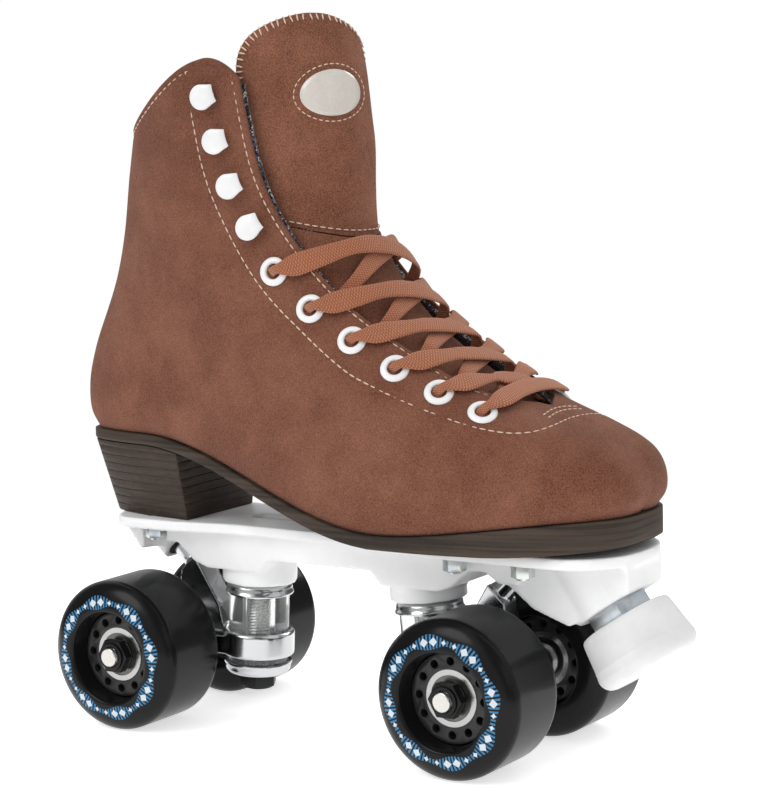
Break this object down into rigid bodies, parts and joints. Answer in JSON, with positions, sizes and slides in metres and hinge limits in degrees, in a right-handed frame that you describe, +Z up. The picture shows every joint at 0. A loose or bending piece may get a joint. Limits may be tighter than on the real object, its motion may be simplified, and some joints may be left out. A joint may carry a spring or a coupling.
{
  "type": "roller skate",
  "caption": "High laced quad roller skate: suede boot on a stacked heel, nylon plate with cushioned steering trucks, wheels on ball bearings and a screw-in toe stop.",
  "frame": {"origin": "on the floor below the middle of the skate's length", "axes": "+X to the toe, +Y to the skater's left, +Z up"},
  "size_m": [0.2764, 0.109, 0.2863],
  "materials": {
    "suede": "matte napped suede",
    "lining_cloth": "speckled woven cloth",
    "lace_cloth": "flat woven band",
    "badge": "satin",
    "insole_cloth": "matte",
    "sole": "matte stacked layers",
    "white_enamel": "gloss",
    "nylon": "satin",
    "zinc": "bright plated",
    "steel": "ground",
    "bearing_steel": "polished",
    "chrome": "polished",
    "black_steel": "satin",
    "pivot_rubber": "matte",
    "clear_urethane": "clear gloss",
    "wheel_urethane": "gloss with a pale printed ring",
    "hub_nylon": "satin",
    "stop_rubber": "matte"
  },
  "bodies": {
    "skate": {"upper_right": "suede", "upper_left": "suede", "tongue": "suede", "tongue_top": "suede", "lining": "lining_cloth", "tongue_badge": "badge", "insole": "insole_cloth", "outsole": "sole", "heel": "sole", "eyelets": "white_enamel", "lace_hooks": "white_enamel", "lace": "lace_cloth", "plate": "nylon", "mounting_bolts": "zinc", "mounting_nuts": "zinc", "kingpins": "steel", "kingpin_nuts": "black_steel", "pivot_cups": "pivot_rubber", "cushion_washers": "chrome", "front_upper_cushion": "clear_urethane", "front_lower_cushion": "clear_urethane", "rear_upper_cushion": "clear_urethane", "rear_lower_cushion": "clear_urethane", "toe_stop_locknut": "zinc"},
    "toe_stop": {"toe_stop_stem": "steel", "toe_stop_pad": "stop_rubber"},
    "front_truck": {"front_hanger": "chrome", "front_axle": "steel", "front_axle_nuts": "black_steel", "front_axle_washers": "zinc", "front_inner_rings": "bearing_steel", "front_spacers": "steel"},
    "rear_truck": {"rear_hanger": "chrome", "rear_axle": "steel", "rear_axle_nuts": "black_steel", "rear_axle_washers": "zinc", "rear_inner_rings": "bearing_steel", "rear_spacers": "steel"},
    "front_right_wheel": {"front_right_tyre": "wheel_urethane", "front_right_hub": "hub_nylon", "front_right_outer_rings": "bearing_steel", "front_right_shields": "bearing_steel"},
    "front_right_ball_set": {"front_right_balls": "bearing_steel"},
    "front_left_wheel": {"front_left_tyre": "wheel_urethane", "front_left_hub": "hub_nylon", "front_left_outer_rings": "bearing_steel", "front_left_shields": "bearing_steel"},
    "front_left_ball_set": {"front_left_balls": "bearing_steel"},
    "rear_right_wheel": {"rear_right_tyre": "wheel_urethane", "rear_right_hub": "hub_nylon", "rear_right_outer_rings": "bearing_steel", "rear_right_shields": "bearing_steel"},
    "rear_right_ball_set": {"rear_right_balls": "bearing_steel"},
    "rear_left_wheel": {"rear_left_tyre": "wheel_urethane", "rear_left_hub": "hub_nylon", "rear_left_outer_rings": "bearing_steel", "rear_left_shields": "bearing_steel"},
    "rear_left_ball_set": {"rear_left_balls": "bearing_steel"}
  },
  "joints": [
    {"name": "front_truck_steer", "type": "hinge", "parent": "skate", "child": "front_truck", "pos_m": [0.0258, 0, 0.031], "axis": [0.7115, 0, 0.7027], "range_deg": [-7, 7], "stiffness_Nm_per_rad": 80, "deforming": ["front_upper_cushion", "front_lower_cushion"]},
    {"name": "rear_truck_steer", "type": "hinge", "parent": "skate", "child": "rear_truck", "pos_m": [-0.0612, 0, 0.031], "axis": [-0.7115, 0, 0.7027], "range_deg": [-7, 7], "stiffness_Nm_per_rad": 80, "deforming": ["rear_upper_cushion", "rear_lower_cushion"]},
    {"name": "front_right_wheel_spin", "type": "hinge", "parent": "front_truck", "child": "front_right_wheel", "pos_m": [0.0623, -0.035, 0.031], "axis": [0, 1, 0], "continuous": true},
    {"name": "front_right_ball_turn", "type": "hinge", "parent": "front_truck", "child": "front_right_ball_set", "pos_m": [0.0623, -0.035, 0.031], "axis": [0, 1, 0], "continuous": true},
    {"name": "front_left_wheel_spin", "type": "hinge", "parent": "front_truck", "child": "front_left_wheel", "pos_m": [0.0623, 0.035, 0.031], "axis": [0, 1, 0], "continuous": true},
    {"name": "front_left_ball_turn", "type": "hinge", "parent": "front_truck", "child": "front_left_ball_set", "pos_m": [0.0623, 0.035, 0.031], "axis": [0, 1, 0], "continuous": true},
    {"name": "rear_right_wheel_spin", "type": "hinge", "parent": "rear_truck", "child": "rear_right_wheel", "pos_m": [-0.0977, -0.035, 0.031], "axis": [0, 1, 0], "continuous": true},
    {"name": "rear_right_ball_turn", "type": "hinge", "parent": "rear_truck", "child": "rear_right_ball_set", "pos_m": [-0.0977, -0.035, 0.031], "axis": [0, 1, 0], "continuous": true},
    {"name": "rear_left_wheel_spin", "type": "hinge", "parent": "rear_truck", "child": "rear_left_wheel", "pos_m": [-0.0977, 0.035, 0.031], "axis": [0, 1, 0], "continuous": true},
    {"name": "rear_left_ball_turn", "type": "hinge", "parent": "rear_truck", "child": "rear_left_ball_set", "pos_m": [-0.0977, 0.035, 0.031], "axis": [0, 1, 0], "continuous": true},
    {"name": "toe_stop_adjust", "type": "slide", "parent": "skate", "child": "toe_stop", "axis": [0.5664, 0, -0.8241], "range_m": [0, 0.01]}
  ],
  "couplings": [
    {"joint": "front_right_ball_turn", "follows": "front_right_wheel_spin", "ratio": 0.63333},
    {"joint": "front_left_ball_turn", "follows": "front_left_wheel_spin", "ratio": 0.63333},
    {"joint": "rear_right_ball_turn", "follows": "rear_right_wheel_spin", "ratio": 0.63333},
    {"joint": "rear_left_ball_turn", "follows": "rear_left_wheel_spin", "ratio": 0.63333}
  ]
}
